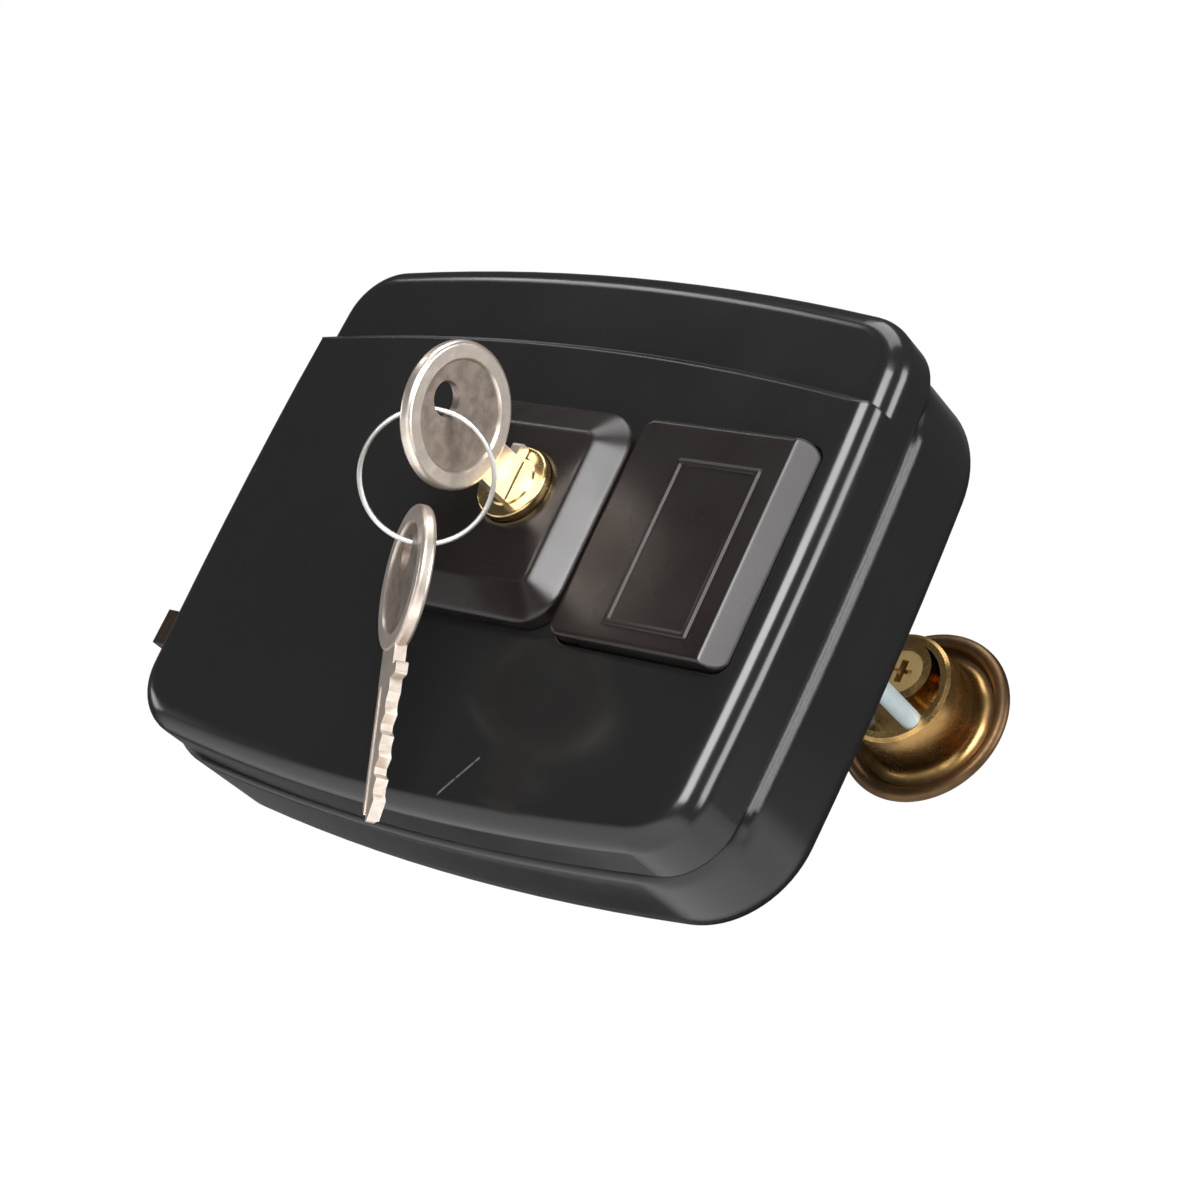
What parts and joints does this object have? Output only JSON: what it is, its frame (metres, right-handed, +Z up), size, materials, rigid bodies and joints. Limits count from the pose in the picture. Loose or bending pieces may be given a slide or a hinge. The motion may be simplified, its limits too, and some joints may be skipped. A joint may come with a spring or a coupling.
{
  "type": "electric lock",
  "caption": "Surface-mounted electric lock with a sprung latch, an arming plunger, a push button, inner and outer key cylinders and keys on a ring.",
  "frame": {"origin": "on the case's flat back, midway between its sides and level with the middle of the latch bolt", "axes": "+X to the right as seen from the room, away from the latch; +Y out of the back, into the door; +Z up"},
  "size_m": [0.1495, 0.1217, 0.1157],
  "materials": {
    "case_black": "gloss, light orange peel",
    "boss_black": "gloss",
    "inner_plastic": "as moulded",
    "spool_plastic": "as moulded",
    "zinc_steel": "bright zinc plated",
    "plain_steel": "machined",
    "bolt_steel": "nickel plated",
    "spring_steel": "drawn wire",
    "inner_brass": "polished",
    "outer_brass": "satin, darkened",
    "nickel_silver": "stamped nickel silver",
    "ring_wire": "bright wire",
    "enamelled_copper": "enamelled winding"
  },
  "bodies": {
    "case": {"rear_case": "case_black", "front_cover": "case_black", "back_plate": "zinc_steel", "cover_screws": "zinc_steel", "cylinder_boss": "boss_black", "boss_clips": "zinc_steel", "button_tray": "inner_plastic", "button_switch": "inner_plastic", "button_spring": "spring_steel", "cylinder_body": "inner_brass", "cylinder_nut": "inner_brass", "guide_plate": "zinc_steel", "spring_bridge": "zinc_steel", "latch_spring": "spring_steel", "plunger_spring": "spring_steel", "catch_pin": "zinc_steel", "solenoid_yoke": "zinc_steel", "coil_bobbin": "spool_plastic", "coil_winding": "enamelled_copper", "pole_piece": "plain_steel", "armature_spring": "spring_steel", "terminal_block": "spool_plastic", "terminal_screws": "zinc_steel", "outer_body": "outer_brass", "hub_strap": "zinc_steel", "tie_screws": "zinc_steel"},
    "button": {"push_button": "boss_black"},
    "latch": {"latch_bolt": "bolt_steel"},
    "plunger": {"arming_plunger": "bolt_steel"},
    "plug": {"inner_plug": "inner_brass", "inner_cam": "plain_steel"},
    "key": {"key_in_lock": "nickel_silver"},
    "ring": {"key_ring": "ring_wire"},
    "spare": {"spare_key": "nickel_silver"},
    "hub": {"outer_hub": "plain_steel", "tail_bar": "plain_steel"},
    "outer_plug": {"outer_plug": "outer_brass"},
    "catch": {"catch_lever": "plain_steel"},
    "armature": {"armature": "plain_steel"}
  },
  "joints": [
    {"name": "latch_slide", "type": "slide", "parent": "case", "child": "latch", "axis": [1, 0, 0], "range_m": [0, 0.012], "stiffness_N_per_m": 300, "springref_m": -0.01, "deforming": ["latch_spring"]},
    {"name": "plunger_slide", "type": "slide", "parent": "case", "child": "plunger", "axis": [1, 0, 0], "range_m": [0, 0.008], "stiffness_N_per_m": 200, "springref_m": -0.006, "deforming": ["plunger_spring"]},
    {"name": "button_press", "type": "slide", "parent": "case", "child": "button", "axis": [0, 1, 0], "range_m": [0, 0.0025], "stiffness_N_per_m": 400, "springref_m": -0.004, "deforming": ["button_spring"]},
    {"name": "key_turn", "type": "hinge", "parent": "case", "child": "plug", "pos_m": [0.0098, -0.0407, 0.0025], "axis": [0, -1, 0], "range_deg": [0, 60]},
    {"name": "key_withdraw", "type": "slide", "parent": "plug", "child": "key", "axis": [0, -1, 0], "range_m": [0, 0.03]},
    {"name": "ring_swing", "type": "hinge", "parent": "key", "child": "ring", "pos_m": [0.0098, -0.06198, 0.00313], "axis": [0.7663, 0.6053, 0.2154], "range_deg": [-30, 5]},
    {"name": "spare_swing", "type": "hinge", "parent": "ring", "child": "spare", "pos_m": [0.00934, -0.05409, -0.0174], "axis": [0.7663, 0.6053, 0.2154], "range_deg": [-30, 9]},
    {"name": "hub_turn", "type": "hinge", "parent": "case", "child": "hub", "pos_m": [0.045, 0, 0.0121], "axis": [0, -1, 0], "range_deg": [0, 60]},
    {"name": "outer_plug_turn", "type": "hinge", "parent": "case", "child": "outer_plug", "pos_m": [0.045, 0.046, 0.0121], "axis": [0, -1, 0], "range_deg": [0, 90]},
    {"name": "armature_slide", "type": "slide", "parent": "case", "child": "armature", "axis": [1, 0, 0], "range_m": [0, 0.004], "stiffness_N_per_m": 80, "springref_m": -0.003, "deforming": ["armature_spring"]},
    {"name": "catch_turn", "type": "hinge", "parent": "case", "child": "catch", "pos_m": [-0.018, -0.0065, -0.022], "axis": [0, -1, 0], "range_deg": [0, 16.6]}
  ],
  "couplings": [
    {"joint": "key_turn", "follows": "latch_slide", "rad_per_m": 87.2},
    {"joint": "hub_turn", "follows": "latch_slide", "rad_per_m": 87.2},
    {"joint": "catch_turn", "follows": "armature_slide", "rad_per_m": 71.994}
  ]
}
